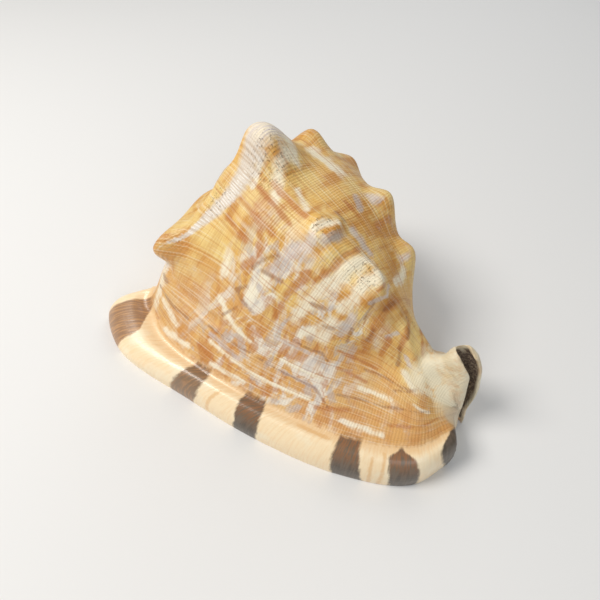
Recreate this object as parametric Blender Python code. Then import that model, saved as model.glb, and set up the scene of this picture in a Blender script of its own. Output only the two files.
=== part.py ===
"""Shell of a large helmet snail, lying on its mouth: one hollow body whorl with shoulder horns,
a short spire, a thick rolled lip, a flat parietal shield, a narrow toothed mouth and an upturned canal.
Sizes are in millimetres in a shell frame (x along the coil axis towards the canal, y to the shield side,
z up), and the mesh is written in metres with its origin under the middle of the shell."""

import math

import bpy
import numpy as np

# Driving sizes
CENTRE_X = -93.5
CENTRE_Y = -17.65
AXIS_LOW = 18.0
AXIS_RISE = 44.0 / 192.0
VOXEL = 1.9
WALL = 5.0
FLOOR_WALL = 9.0
TEETH_PITCH = 12.0
TEETH_DEPTH = 2.2
SLIT_HALF = 6.0
DISH_HALF = 19.0
DISH_DEPTH = 5.0
DISH_ENDS = (-172.0, -4.0)
FEWER = 0.079
BELOW = -7.0

# Nine stations from the suture to the neck, and the radius of the back of the shell at each
STATION_X = np.array([-171.0, -161.0, -147.0, -126.0, -98.0, -70.0, -46.0, -26.0, -12.0])
STATION_R = np.array([23.0, 33.0, 50.0, 55.0, 53.0, 42.0, 26.0, 12.0, 9.0])
# How far each station follows the growth of the whorl
FOLLOW = np.array([0.6, 0.8, 1.0, 1.0, 1.0, 1.0, 0.9, 0.4, 0.0])
SHIFT = np.array([0.3, 0.6, 1.0, 0.8, 0.5, 0.2, 0.0, 0.0, 0.0])
THIN = np.array([0.0, 0.0, 0.0, 0.0, 0.2, 0.7, 2.3, 1.8, 0.0])
# Turn in degrees round the coil, size, shift of the keel along x, and thinning of the lower body
TURNS = [
    (14, 1.08, -9, 0.00),
    (36, 1.00, -8, 0.00),
    (58, 1.00, -6, 0.00),
    (80, 0.95, 0, 0.02),
    (104, 0.92, 0, 0.17),
    (128, 0.92, -2, 0.24),
    (155, 0.90, -4, 0.27),
    (182, 0.82, -6, 0.29),
]

# Hollow: the slit of the mouth, its half widths at three heights, and the throat over the lip
SLIT_X = -84.0
SLIT_REACH = 80.0
SLIT_LEVELS = [(-4.0, SLIT_HALF + 2.0), (3.0, SLIT_HALF), (9.0, SLIT_HALF)]
THROAT_X = -98.0
THROAT_REACH = 60.0
# Throat rings: distance in from the crease, height, half width, and its direction in y and z
THROAT = [(22.0, 17.0, 6.5, 0.95, -0.3), (26.5, 27.0, 8.5, 0.80, -0.6)]
# Towards the canal the throat moves out and down, so that the wall keeps its thickness
NARROW_X = (-75.0, -38.0)
NARROW_STEP = 2.0
NARROW_SINK = 0.35
# Hollow of the last turn: its middle and half length along x, and how much shorter it ends
LAST_X = -99.0
LAST_REACH = 53.0
LAST_SHORTER = 8.0
LAST_SKIN = 0.8
INNER_SHARE = 0.40
INNER_EXTRA = 3.0
# The hollow a turn further in: degrees, reach as a share of the whorl, middle and half length along x
INNER_TURNS = [
    (205, 0.78, -108, 44),
    (240, 0.76, -112, 42),
    (270, 0.72, -115, 40),
    (300, 0.70, -118, 38),
    (330, 0.60, -121, 35),
    (360, 0.43, -124, 32),
    (395, 0.39, -127, 29),
    (440, 0.36, -130, 26),
    (490, 0.32, -133, 22),
    (525, 0.26, -136, 15),
]
COLUMELLA = 6.5

# Outer foot of the lip and the crease behind it, from the spire end to the canal
LIP_EDGE = [
    (-176, -70, 9), (-188, -85, 3), (-195, -98, 4), (-166, -110, 5), (-115, -100, 5),
    (-72, -89, 5), (-30, -72, 5), (0, -50, 5), (8, -26, 8),
]
LIP_CREASE = [
    (-167, -57, 34), (-174, -66, 27), (-175, -79, 19), (-148, -89, 16), (-105, -85, 18),
    (-66, -74, 18), (-33, -61, 19), (-8, -42, 20), (0, -22, 22),
]
# The crown of the lip is level with the crease, or lower where the crease climbs high
CROWN_SHARE = 0.35
CROWN_BASE = 9.0
# Points that leave the turns: the whorl rises steeply near the spire, and ends in a ridge by the canal
MOVED = [
    (5, 1, (-167, -60, 47)), (5, 2, (-162, -64, 60)), (5, 7, (-21, -25, 31)), (5, 8, (-12, -17, 24)),
    (6, 7, (-25, -13, 33)), (6, 8, (-14, -8, 28)),
]
# Under the shell, from the foot of the shield round to the mouth
UNDER = [
    [(-170, 28, 40), (-171, 38, 24), (-165, 46, 8), (-128, 41, 6), (-98, 35, 6),
     (-70, 25, 6), (-46, 17, 6), (-26, 11, 7), (-12, 8, 9)],
    [(-171, 20, 36), (-175, 24, 14), (-165, 38, -5), (-128, 34, -5), (-98, 28, -5),
     (-70, 20, -5), (-46, 12, -5), (-26, 8, -5), (-12, 5, -4)],
    [(-171, -4, 34), (-177, -8, 12), (-168, -6, -5), (-128, -6, -5), (-98, -6, -5),
     (-70, -6, -5), (-46, -5, -5), (-26, -4, -5), (-12, -3, -4)],
    [(-173, -30, 30), (-182, -38, 9), (-174, -48, -5), (-128, -55, -5), (-98, -52, -5),
     (-70, -46, -5), (-46, -36, -5), (-26, -26, -5), (-8, -13, -4)],
]

# Horns and knobs: turn, x, height, half width along x and round the coil, direction, bluntness
KNOBS = [
    (6, -168, 10, 12, 11, (-0.55, -0.80, 0.20), 2.2),
    (80, -145, 19, 16, 13, (-0.10, -0.25, 1.0), 1.35),
    (118, -146, 8, 9, 8, (-0.1, 0.3, 0.9), 1.0),
    (146, -133, 6, 9, 8, (0.1, 0.7, 0.6), 1.0),
    (66, -92, 7, 12, 11, (0.1, -0.4, 0.9), 1.2),
    (64, -66, 7, 11, 10, (0.2, -0.4, 0.8), 1.4),
    (126, -95, 9, 9, 8, (0.1, 0.5, 0.8), 1.0),
    (128, -70, 8, 8, 8, (0.2, 0.5, 0.8), 1.0),
]

# The keel between the two largest horns: turn and x along it, its height and half width
KEEL_TURN = (0.0, 8.0, 30.0, 58.0, 80.0, 92.0)
KEEL_X = (-168.0, -165.0, -157.0, -154.0, -149.0, -147.0)
KEEL_ENDS = (0.0, 0.3, 1.0, 1.0, 0.4, 0.0)
KEEL_TALL = 3.0
KEEL_WIDE = 5.0
# Spire: x and radius down to the tip
SPIRE = [(-150, 28), (-164, 30), (-171, 29), (-176, 23), (-179, 16), (-182, 14),
         (-185, 9), (-189, 6), (-192, 1)]
# Canal: height, then the outline in plan from the end of the body along the near wall to the rims and back
CANAL = [
    (-5, (-10, -34), (-1, -24), (0.3, -8), (1, -3),
     (0, 2), (-10, 6), (-24, 2), (-26, -18)),
    (0, (-10, -34), (-1, -24), (0.3, -8), (1, -3),
     (0, 2), (-10, 6), (-24, 2), (-26, -18)),
    (10, (-8, -28), (-2.5, -16), (-2.8, -6.5), (-1.5, -1.5),
     (-1.8, 3.5), (-10, 8), (-24, 6), (-26, -10)),
    (20, (-7, -24), (-5, -14), (-5, -6.3), (-2.8, -1.2),
     (-1.6, 4.2), (-10, 9), (-26, 9), (-30, -6)),
    (28, (-18, -18.5), (-12.5, -11.5), (-7.2, -6.2), (-4.2, -1),
     (-2.6, 4.3), (-11, 9.2), (-28, 9), (-34, -4)),
    (36, (-31, -15), (-20, -8.5), (-9, -6), (-6, -0.8),
     (-4.7, 4.4), (-13, 8), (-29, 0), (-38, -3)),
    (39, (-29, -9), (-20, -7.8), (-9.6, -6), (-6.9, -0.8),
     (-5.6, 4.4), (-14, 7.5), (-24, 1.5), (-28, -3)),
    (42, (-24.5, -5.5), (-19, -7.2), (-10.3, -6), (-7.8, -0.8),
     (-6.6, 4.4), (-14, 7.2), (-22, 2.5), (-25, -2)),
    (46, (-23.5, -5.5), (-19, -7.8), (-12, -6.8), (-10, -0.8),
     (-9.2, 4.6), (-15, 6.6), (-21.5, 3.2), (-24, -1.5)),
    (49, (-22.5, -5.5), (-19.5, -7.8), (-14.5, -7), (-12, -0.8),
     (-11.5, 4.6), (-15.5, 6), (-20.5, 3.8), (-23.5, -1)),
    (51, (-21.8, -5), (-19.8, -7), (-17, -6.6), (-15.5, -0.8),
     (-14.5, 4.2), (-17, 5), (-19.5, 3.4), (-22, -1)),
    (52.5, (-21.5, -4.2), (-20, -5.8), (-18, -5.6), (-16.5, -0.8),
     (-16, 3.2), (-17.5, 3.8), (-19.5, 2.6), (-21, -1)),
]
# Trough of the canal: height, middle between its rims, depth and half width, and the way it faces
TROUGH = [
    (-6, 2, -6, 8, 2.6), (6, 0.5, -4, 7, 2.6), (15, -2.4, -1.6, 7, 3.0), (25, -4.3, -1, 9, 3.2),
    (35, -6.7, -0.8, 10, 3.4), (42, -8.6, -0.7, 9.5, 3.5), (47, -12.2, -1.3, 8.6, 4.0),
    (50, -16.4, -1.4, 5.6, 3.9), (54, -18, -1.4, 4.2, 3.8),
]
TROUGH_TURN = -23.0
# Old lip that stands proud beside the spire, and its thickness
VARIX = [(-164, -36, 66), (-169, -28, 70), (-172, -20, 74.5), (-172.5, -13, 78.5), (-168, -8, 82),
         (-160, -5, 83)]
VARIX_RADIUS = 3.0
# Outline of the parietal shield in plan, and its thickness
SHIELD = [(-170, -46), (-180, -22), (-181, 10), (-178, 40), (-171, 66), (-160, 75), (-146, 71),
          (-100, 50), (-56, 31), (-31, 20), (-12, 10), (-14, -10), (-60, -36), (-120, -50)]
SHIELD_MIDDLE = (-110.0, 0.0)
SHIELD_LEVELS = [(-4.0, 0.97), (0.0, 0.985), (2.5, 1.0), (4.5, 0.99), (7.0, 0.95), (10.0, 0.78)]
# Corners of the block that is cut away under the shell
GROUND = [(-260.0, -180.0), (80.0, -180.0), (80.0, 150.0), (-260.0, 150.0)]
GROUND_LOW = -40.0
# Middle of the narrow mouth in plan, from the spire end to the canal
MOUTH_X = np.array([-166.0, -150.0, -115.0, -72.0, -40.0, -18.0, -2.0])
MOUTH_Y = np.array([-52.0, -64.0, -63.0, -54.0, -41.0, -26.0, -9.0])


def axis_z(x):
    """Height of the coil axis over the ground."""
    return AXIS_LOW - AXIS_RISE * x


def round_axis(x, r, degrees):
    """Point at a distance from the coil axis: 0 degrees at the lip side, 90 on top."""
    turn = np.radians(degrees)
    return np.stack([x + 0 * r, -r * np.cos(turn), axis_z(x) + r * np.sin(turn)], -1)


def slope(back, ahead):
    """Direction of a curve between two steps, ruled by the shorter one so that it can't overshoot."""
    short = np.linalg.norm(back, axis=-1, keepdims=True) + 1e-9
    long = np.linalg.norm(ahead, axis=-1, keepdims=True) + 1e-9
    return (back * long + ahead * short) / (short + long)


def spline(points, t, closed=False):
    """Smooth curve through points, at places counted in points."""
    points = np.asarray(points, float)
    count = len(points)
    start = np.floor(t).astype(int)
    if closed:
        start = start % count
        before = points[(start - 1) % count]
        first = points[start]
        second = points[(start + 1) % count]
        after = points[(start + 2) % count]
        f = t - np.floor(t)
    else:
        start = np.clip(start, 0, count - 2)
        first = points[start]
        second = points[start + 1]
        before = points[np.clip(start - 1, 0, count - 1)]
        after = points[np.clip(start + 2, 0, count - 1)]
        f = t - start
    shape = f.shape + (1,) * (points.ndim - 1)
    f = f.reshape(shape)
    if not closed:
        before = np.where((start == 0).reshape(shape), 2 * first - second, before)
        after = np.where((start == count - 2).reshape(shape), 2 * second - first, after)
    leave = slope(first - before, second - first)
    arrive = slope(second - first, after - second)
    step = second - first
    return first + f * leave + f ** 2 * (3 * step - 2 * leave - arrive) + f ** 3 * (leave + arrive - 2 * step)


def lip_rows():
    """Foot, edge, shoulder, crown and crease of the rolled lip."""
    edge = np.array(LIP_EDGE, float)
    crease = np.array(LIP_CREASE, float)
    foot = edge + 0.16 * (crease - edge)
    foot[:, 2] = np.where(edge[:, 2] < 9, -3, edge[:, 2] - 7)
    shoulder = edge + 0.20 * (crease - edge)
    shoulder[:, 2] = edge[:, 2] + 0.56 * (crease[:, 2] - edge[:, 2]) + 1.0
    crown = edge + 0.60 * (crease - edge)
    rise = crease[:, 2] - edge[:, 2]
    crown[:, 2] = edge[:, 2] + np.minimum(rise, CROWN_SHARE * rise + CROWN_BASE)
    return [foot, edge, shoulder, crown, crease]


def body_rows():
    """Rows of the body whorl, from the foot of the lip over the back and under to the mouth."""
    rows = lip_rows()
    for degrees, size, keel, thin in TURNS:
        radius = STATION_R * (1 + (size - 1) * FOLLOW) * (1 - thin * THIN)
        rows.append(round_axis(STATION_X + SHIFT * keel, radius, degrees))
    for row, station, point in MOVED:
        rows[row][station] = point
    rows += [np.array(row, float) for row in UNDER]
    return np.array(rows)


def raise_knobs(points):
    """Push the surface out at each horn and knob."""
    height = axis_z(points[..., 0])
    radius = np.hypot(points[..., 1], points[..., 2] - height)
    degrees = np.degrees(np.arctan2(points[..., 2] - height, -points[..., 1]))
    moved = points.copy()
    for turn, x, tall, wide_x, wide_round, lean, blunt in KNOBS:
        away = np.abs((degrees - turn + 180) % 360 - 180)
        along = np.radians(away) * np.clip(radius, 20, 70)
        q = ((points[..., 0] - x) / wide_x) ** 2 + (along / wide_round) ** 2
        direction = np.array(lean, float)
        direction = direction / np.linalg.norm(direction)
        moved += (tall * np.exp(-q ** blunt))[..., None] * direction
    keel_away = (points[..., 0] - np.interp(degrees, KEEL_TURN, KEEL_X)) / KEEL_WIDE
    keel = KEEL_TALL * np.interp(degrees, KEEL_TURN, KEEL_ENDS) * np.exp(-keel_away ** 2)
    turn = np.radians(degrees)
    moved += keel[..., None] * np.stack([0 * turn, -np.cos(turn), np.sin(turn)], -1)
    return moved


def body_grid(across, along):
    """Closed rings round the body whorl, one for each step from suture to neck."""
    rows = body_rows()
    t = np.linspace(0, len(rows), across, endpoint=False)
    rings = spline(rows, t, closed=True)
    s = np.linspace(0, rows.shape[1] - 1, along)
    grid = spline(np.swapaxes(rings, 0, 1), s)
    grid = raise_knobs(grid)
    grid[..., 2] = np.maximum(grid[..., 2], BELOW)
    return grid


def canal_grid(around):
    """Rings of the neck and canal at rising heights."""
    outlines = np.array([level[1:] for level in CANAL], float)
    heights = np.array([level[0] for level in CANAL], float)
    up = np.linspace(0, len(CANAL) - 1, 6 * len(CANAL))
    turn = np.linspace(0, outlines.shape[1], around, endpoint=False)
    rings = spline(np.swapaxes(outlines, 0, 1), turn, closed=True)
    rings = spline(np.swapaxes(rings, 0, 1), up)
    z = np.interp(up, np.arange(len(CANAL)), heights)
    return np.concatenate([rings, z[:, None, None] + 0 * rings[..., :1]], -1)


def trough_grid(around):
    """Oval rings of the trough, long ways on to its opening."""
    levels = np.array(TROUGH, float)
    steps = spline(levels, np.linspace(0, len(levels) - 1, 3 * len(levels)))
    turn = np.linspace(0, 2 * np.pi, around, endpoint=False)
    facing = math.radians(TROUGH_TURN)
    deep = steps[:, 3, None] * np.cos(turn)
    wide = steps[:, 4, None] * np.sin(turn)
    x = steps[:, 1, None] + deep * math.cos(facing) - wide * math.sin(facing)
    y = steps[:, 2, None] + deep * math.sin(facing) + wide * math.cos(facing)
    return np.stack([x, y, steps[:, 0, None] + 0 * x], -1)


def spire_grid(around):
    """Rings of the short spire."""
    profile = spline(SPIRE, np.linspace(0, len(SPIRE) - 1, 60))
    turn = np.linspace(0, 360, around, endpoint=False)
    x = profile[:, 0, None] + 0 * turn
    r = np.maximum(profile[:, 1, None], 0.3) + 0 * turn
    return round_axis(x, r, turn + 0 * x)


def tube_grid(path, radius, around):
    """Round cord along a path, thinner at its ends."""
    middle = spline(path, np.linspace(0, len(path) - 1, 8 * len(path)))
    ahead = np.gradient(middle, axis=0)
    ahead /= np.linalg.norm(ahead, axis=1)[:, None]
    side = np.cross(ahead, (0.0, 0.0, 1.0))
    side /= np.linalg.norm(side, axis=1)[:, None]
    up = np.cross(side, ahead)
    s = np.linspace(-1, 1, len(middle))
    size = radius * np.sqrt(np.maximum(1 - s ** 6, 0.02))
    turn = np.linspace(0, 2 * np.pi, around, endpoint=False)
    out = np.cos(turn)[:, None] * side[:, None] + np.sin(turn)[:, None] * up[:, None]
    return middle[:, None] + size[:, None, None] * out


def shield_grid(around):
    """Thin plate of the shield, rounded at its edge."""
    outline = spline(SHIELD, np.linspace(0, len(SHIELD), around, endpoint=False), closed=True)
    middle = np.array(SHIELD_MIDDLE)
    rings = []
    for height, size in SHIELD_LEVELS:
        plan = middle + (outline - middle) * size
        rings.append(np.column_stack([plan, np.full(around, height)]))
    return np.array(rings)


def cavity_grid(along):
    """Hollow of the body whorl, from the mouth slit up and back round the coil."""
    s = np.linspace(-1, 1, along)
    bulge = np.sqrt(np.maximum(1 - s ** 2, 0)) ** 0.7
    rings = []
    # The slit itself, with rounded teeth along the lip and low ridges along the other side
    slit_x = SLIT_X + SLIT_REACH * s
    slit_y = np.interp(slit_x, MOUTH_X, MOUTH_Y)
    teeth = TEETH_DEPTH * np.cos(2 * np.pi * slit_x / TEETH_PITCH) * (1 - s ** 6)
    for height, half in SLIT_LEVELS:
        lip = slit_y - (half * bulge ** 0.6 + teeth)
        inner = slit_y + half * bulge ** 0.6 + 0.5 * teeth
        ring = np.concatenate([
            np.column_stack([slit_x, lip, np.full(along, height)]),
            np.column_stack([slit_x, inner, np.full(along, height)])[::-1][1:-1],
        ])
        rings.append(ring)
    # Above the lip the hollow widens
    x = THROAT_X + THROAT_REACH * s
    crease_x = np.array([p[0] for p in LIP_CREASE[2:]], float)
    crease_y = np.array([p[1] for p in LIP_CREASE[2:]], float)
    wall_y = np.interp(x, crease_x, crease_y)
    low = np.interp(x, NARROW_X, (0.0, 1.0))
    for back, height, half, dy, dz in THROAT:
        sink = NARROW_SINK * height * low
        middle = np.column_stack([x, wall_y + back - NARROW_STEP * low, height - sink])
        step = np.array([0.0, dy, dz]) * half
        outer = middle - bulge[:, None] * step
        inner = middle + bulge[:, None] * step
        rings.append(np.concatenate([outer, inner[::-1][1:-1]]))
    for degrees, size, keel, thin in TURNS:
        sx = STATION_X + SHIFT * keel
        radius = STATION_R * (1 + (size - 1) * FOLLOW) * (1 - thin * THIN)
        far = degrees / TURNS[-1][0]
        x = LAST_X + 0.5 * keel + (LAST_REACH - LAST_SHORTER * far) * s
        whole = np.interp(x, sx, radius)
        most = whole - WALL - LAST_SKIN
        least = INNER_SHARE * whole + INNER_EXTRA
        middle = (most + least) / 2
        half = np.maximum((most - least) / 2, 1.0) * bulge
        outer = round_axis(x, middle + half, degrees)
        inner = round_axis(x, middle - half, degrees)
        rings.append(np.concatenate([outer, inner[::-1][1:-1]]))
    for degrees, reach, middle_x, half_x in INNER_TURNS:
        x = middle_x + half_x * s
        whole = np.interp(x, STATION_X, STATION_R)
        most = reach * whole
        down = -math.sin(math.radians(degrees))
        if down > 0.1:
            most = np.minimum(most, (axis_z(x) - FLOOR_WALL) / down)
        least = np.minimum(COLUMELLA, most - 2.0)
        middle = (most + least) / 2
        half = (most - least) / 2 * bulge
        outer = round_axis(x, middle + half, degrees)
        inner = round_axis(x, middle - half, degrees)
        rings.append(np.concatenate([outer, inner[::-1][1:-1]]))
    return np.array(rings)


def dish_grid(around):
    """Shallow dish round the mouth, so that the lip and the shield curve in to the slit."""
    s = np.linspace(-1, 1, 30)
    x = np.interp(s, (-1, 1), DISH_ENDS)
    y = np.interp(x, MOUTH_X, MOUTH_Y)
    size = np.sqrt(np.maximum(1 - s ** 4, 0.002))
    turn = np.linspace(0, 2 * np.pi, around, endpoint=False)
    across = y[:, None] + DISH_HALF * size[:, None] * np.cos(turn)
    up = DISH_DEPTH * size[:, None] * np.sin(turn)
    return np.stack([x[:, None] + 0 * across, across, up + 0 * across], -1)


def solid(name, grids, colour):
    """Mesh of closed shapes, each from rings of points with a fan at either end."""
    points = []
    faces = []
    base = 0
    for grid in grids:
        levels, around = grid.shape[:2]
        ends = np.array([grid[0].mean(axis=0), grid[-1].mean(axis=0)])
        rings = np.concatenate([grid.reshape(-1, 3), ends])
        points.append((rings - np.array([CENTRE_X, CENTRE_Y, 0.0])) / 1000.0)
        shape = []
        for i in range(levels - 1):
            for j in range(around):
                k = (j + 1) % around
                shape.append((i * around + j, i * around + k, (i + 1) * around + k, (i + 1) * around + j))
        top = (levels - 1) * around
        for j in range(around):
            k = (j + 1) % around
            shape.append((levels * around, k, j))
            shape.append((levels * around + 1, top + j, top + k))
        if enclosed(points[-1], shape) < 0:
            shape = [face[::-1] for face in shape]
        faces += [tuple(base + v for v in face) for face in shape]
        base += len(rings)
    mesh = bpy.data.meshes.new(name)
    mesh.from_pydata(np.concatenate(points).tolist(), [], faces)
    mesh.update()
    obj = bpy.data.objects.new(name, mesh)
    bpy.context.scene.collection.objects.link(obj)
    if colour is not None:
        obj.data.materials.append(colour)
    return obj


def enclosed(points, faces):
    """Volume inside the faces, below zero where they point inwards."""
    total = 0.0
    for face in faces:
        for second, third in zip(face[1:-1], face[2:]):
            total += points[face[0]] @ np.cross(points[second], points[third])
    return total / 6.0


def cutter(obj):
    """Keep an object as a tool only."""
    obj.hide_render = True
    obj.display_type = "WIRE"
    return obj


def cut(target, tool):
    """Take one solid away from another."""
    modifier = target.modifiers.new("cut_" + tool.name, "BOOLEAN")
    modifier.operation = "DIFFERENCE"
    modifier.solver = "MANIFOLD"
    modifier.object = tool


for old in list(bpy.data.objects):
    bpy.data.objects.remove(old, do_unlink=True)

nacre = bpy.data.materials.new("shell_ochre")
nacre.use_nodes = True
shader = nacre.node_tree.nodes["Principled BSDF"]
shader.inputs["Base Color"].default_value = (0.72, 0.47, 0.22, 1.0)
shader.inputs["Roughness"].default_value = 0.45
shader.inputs["Metallic"].default_value = 0.0

# The body whorl, spire, canal and shield grow as one piece
whorl = solid(
    "helmet_shell",
    [
        body_grid(220, 120),
        spire_grid(48),
        tube_grid(VARIX, VARIX_RADIUS, 16),
        canal_grid(40),
        shield_grid(120),
    ],
    nacre,
)

grow = whorl.modifiers.new("grow_together", "REMESH")
grow.mode = "VOXEL"
grow.voxel_size = VOXEL / 1000.0
grow.adaptivity = 0.0
grow.use_smooth_shade = True

soften = whorl.modifiers.new("soften", "SMOOTH")
soften.factor = 0.5
soften.iterations = 5

thin_out = whorl.modifiers.new("fewer_faces", "DECIMATE")
thin_out.decimate_type = "COLLAPSE"
thin_out.ratio = FEWER

# The dish of the mouth, the hollow with its toothed slit, and the trough of the canal
cut(whorl, cutter(solid("dish", [dish_grid(20)], None)))
cut(whorl, cutter(solid("hollow", [cavity_grid(40)], None)))
cut(whorl, cutter(solid("trough", [trough_grid(24)], None)))

# The lip and the shield rest flat on the ground
levels = [[(x, y, z) for x, y in GROUND] for z in (GROUND_LOW, 0.0)]
cut(whorl, cutter(solid("ground", [np.array(levels)], None)))
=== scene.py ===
"""Looks of the helmet shell: its sculptured skin with painted growth marks, banded lip and open canal,
lying on its mouth on a pale floor. Sizes are in millimetres in the shell frame of the solid: x along the
coil axis towards the canal, y to the shield side, z up."""

import math

import bpy
import numpy as np
from mathutils import Matrix, Vector, kdtree


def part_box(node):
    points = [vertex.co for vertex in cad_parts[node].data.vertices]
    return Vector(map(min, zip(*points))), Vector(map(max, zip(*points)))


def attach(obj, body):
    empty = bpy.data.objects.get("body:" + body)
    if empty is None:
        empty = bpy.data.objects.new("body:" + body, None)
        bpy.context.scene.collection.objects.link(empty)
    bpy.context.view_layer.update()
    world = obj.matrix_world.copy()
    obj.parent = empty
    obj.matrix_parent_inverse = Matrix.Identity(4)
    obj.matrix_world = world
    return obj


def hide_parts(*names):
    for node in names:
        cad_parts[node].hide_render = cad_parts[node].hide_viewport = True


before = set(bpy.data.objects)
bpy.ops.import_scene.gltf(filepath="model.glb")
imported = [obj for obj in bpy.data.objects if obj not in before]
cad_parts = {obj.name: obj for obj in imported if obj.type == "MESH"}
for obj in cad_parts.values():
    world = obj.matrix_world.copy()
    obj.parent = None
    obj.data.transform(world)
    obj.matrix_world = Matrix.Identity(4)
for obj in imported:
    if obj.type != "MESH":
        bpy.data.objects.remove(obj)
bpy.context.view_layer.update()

# The studio: a pale floor, one large soft light over the lip side with two weaker ones,
# and the camera where the photographer stood, over the lip and looking down at the horns
MM = 0.001
CENTRE = np.array([-93.5, -17.65, 0.0])
CAMERA_AT = np.array([0.0, -145.0, 233.26])
CAMERA_TURN = (38.45, -2.71, 44.22)
PHOTO_WIDTH = 600.0
FOCAL_PIXELS = 451.0
SENSOR = 36.0
FLOOR_COLOUR = (0.80, 0.79, 0.77, 1.0)
SKY_COLOUR = (0.94, 0.97, 1.0, 1.0)
SKY_STRENGTH = 0.33


def placed(points):
    """World metres from shell millimetres."""
    return (np.asarray(points, float) - CENTRE) * MM


def soft_light(name, at, aim, size, power, colour):
    """Square area light that looks at a point."""
    lamp = bpy.data.lights.new(name, "AREA")
    lamp.shape = "SQUARE"
    lamp.size = size
    lamp.energy = power
    lamp.color = colour
    obj = bpy.data.objects.new(name, lamp)
    obj.location = at
    obj.rotation_euler = (Vector(aim) - Vector(at)).to_track_quat("-Z", "Y").to_euler()
    bpy.context.scene.collection.objects.link(obj)


low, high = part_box("helmet_shell")
length = high.x - low.x
aim = (0.0, 0.0, 0.4 * high.z)
soft_light("key", (-2.5 * length, -2.7 * length, 4.5 * length), aim, 2.3 * length, 10.0, (1.0, 0.97, 0.93))
soft_light("fill", (4.2 * length, -2.4 * length, 3.4 * length), aim, 3.0 * length, 2.4, (0.93, 0.96, 1.0))
soft_light("back", (-1.5 * length, 4.0 * length, 3.6 * length), aim, 3.0 * length, 2.0, (0.95, 0.97, 1.0))

bpy.ops.mesh.primitive_plane_add(size=30.0 * length, location=(0.0, 0.0, 0.0))
floor = bpy.context.object
floor.name = "floor"
floor_paint = bpy.data.materials.new("floor")
floor_paint.use_nodes = True
floor_shader = floor_paint.node_tree.nodes["Principled BSDF"]
floor_shader.inputs["Base Color"].default_value = FLOOR_COLOUR
floor_shader.inputs["Roughness"].default_value = 0.85
floor.data.materials.append(floor_paint)

sky = bpy.data.worlds.new("sky")
sky.use_nodes = True
sky.node_tree.nodes["Background"].inputs["Color"].default_value = SKY_COLOUR
sky.node_tree.nodes["Background"].inputs["Strength"].default_value = SKY_STRENGTH
bpy.context.scene.world = sky
bpy.context.scene.view_settings.view_transform = "Standard"

lens = bpy.data.cameras.new("camera")
lens.sensor_width = SENSOR
lens.lens = SENSOR * FOCAL_PIXELS / PHOTO_WIDTH
lens.clip_start = 0.01
camera = bpy.data.objects.new("camera", lens)
camera.location = placed(CAMERA_AT)
camera.rotation_euler = [math.radians(turn) for turn in CAMERA_TURN]
bpy.context.scene.collection.objects.link(camera)
bpy.context.scene.camera = camera

# The shell itself: one wall of lime that the snail laid down turn after turn, so its surface follows the
# growth of the lip. It repeats the forms of the solid with a finer skin, then opens the mouth and canal
AXIS_LOW = 18.0
AXIS_RISE = 44.0 / 192.0
SKIN_VOXEL = 1.15
WALL = 5.0
FLOOR_WALL = 9.0
TEETH_PITCH = 12.0
TEETH_DEPTH = 2.2
SLIT_HALF = 6.0
DISH_HALF = 19.0
DISH_DEPTH = 5.0
DISH_ENDS = (-172.0, -4.0)
BELOW = -7.0

# Nine stations from the suture to the neck, and the radius of the back of the shell at each
STATION_X = np.array([-171.0, -161.0, -147.0, -126.0, -98.0, -70.0, -46.0, -26.0, -12.0])
STATION_R = np.array([23.0, 33.0, 50.0, 55.0, 53.0, 42.0, 26.0, 12.0, 9.0])
# How far each station follows the growth of the whorl
FOLLOW = np.array([0.6, 0.8, 1.0, 1.0, 1.0, 1.0, 0.9, 0.4, 0.0])
SHIFT = np.array([0.3, 0.6, 1.0, 0.8, 0.5, 0.2, 0.0, 0.0, 0.0])
THIN = np.array([0.0, 0.0, 0.0, 0.0, 0.2, 0.7, 2.3, 1.8, 0.0])
# Turn in degrees round the coil, size, shift of the keel along x, and thinning of the lower body
TURNS = [
    (14, 1.08, -9, 0.00),
    (36, 1.00, -8, 0.00),
    (58, 1.00, -6, 0.00),
    (80, 0.95, 0, 0.02),
    (104, 0.92, 0, 0.17),
    (128, 0.92, -2, 0.24),
    (155, 0.90, -4, 0.27),
    (182, 0.82, -6, 0.29),
]
# Hollow: the slit of the mouth, its half widths at three heights, and the throat over the lip
SLIT_X = -84.0
SLIT_REACH = 80.0
SLIT_LEVELS = [(-4.0, SLIT_HALF + 2.0), (3.0, SLIT_HALF), (9.0, SLIT_HALF)]
THROAT_X = -98.0
THROAT_REACH = 60.0
# Throat rings: distance in from the crease, height, half width, and its direction in y and z
THROAT = [(22.0, 17.0, 6.5, 0.95, -0.3), (26.5, 27.0, 8.5, 0.80, -0.6)]
# Towards the canal the throat moves out and down, so that the wall keeps its thickness
NARROW_X = (-75.0, -38.0)
NARROW_STEP = 2.0
NARROW_SINK = 0.35
# Hollow of the last turn: its middle and half length along x, and how much shorter it ends
LAST_X = -99.0
LAST_REACH = 53.0
LAST_SHORTER = 8.0
LAST_SKIN = 0.8
INNER_SHARE = 0.40
INNER_EXTRA = 3.0
# The hollow a turn further in: degrees, reach as a share of the whorl, middle and half length along x
INNER_TURNS = [
    (205, 0.78, -108, 44),
    (240, 0.76, -112, 42),
    (270, 0.72, -115, 40),
    (300, 0.70, -118, 38),
    (330, 0.60, -121, 35),
    (360, 0.43, -124, 32),
    (395, 0.39, -127, 29),
    (440, 0.36, -130, 26),
    (490, 0.32, -133, 22),
    (525, 0.26, -136, 15),
]
COLUMELLA = 6.5
# Outer foot of the lip and the crease behind it, from the spire end to the canal
LIP_EDGE = [
    (-176, -70, 9), (-188, -85, 3), (-195, -98, 4), (-166, -110, 5), (-115, -100, 5),
    (-72, -89, 5), (-30, -72, 5), (0, -50, 5), (8, -26, 8),
]
LIP_CREASE = [
    (-167, -57, 34), (-174, -66, 27), (-175, -79, 19), (-148, -89, 16), (-105, -85, 18),
    (-66, -74, 18), (-33, -61, 19), (-8, -42, 20), (0, -22, 22),
]
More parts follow.
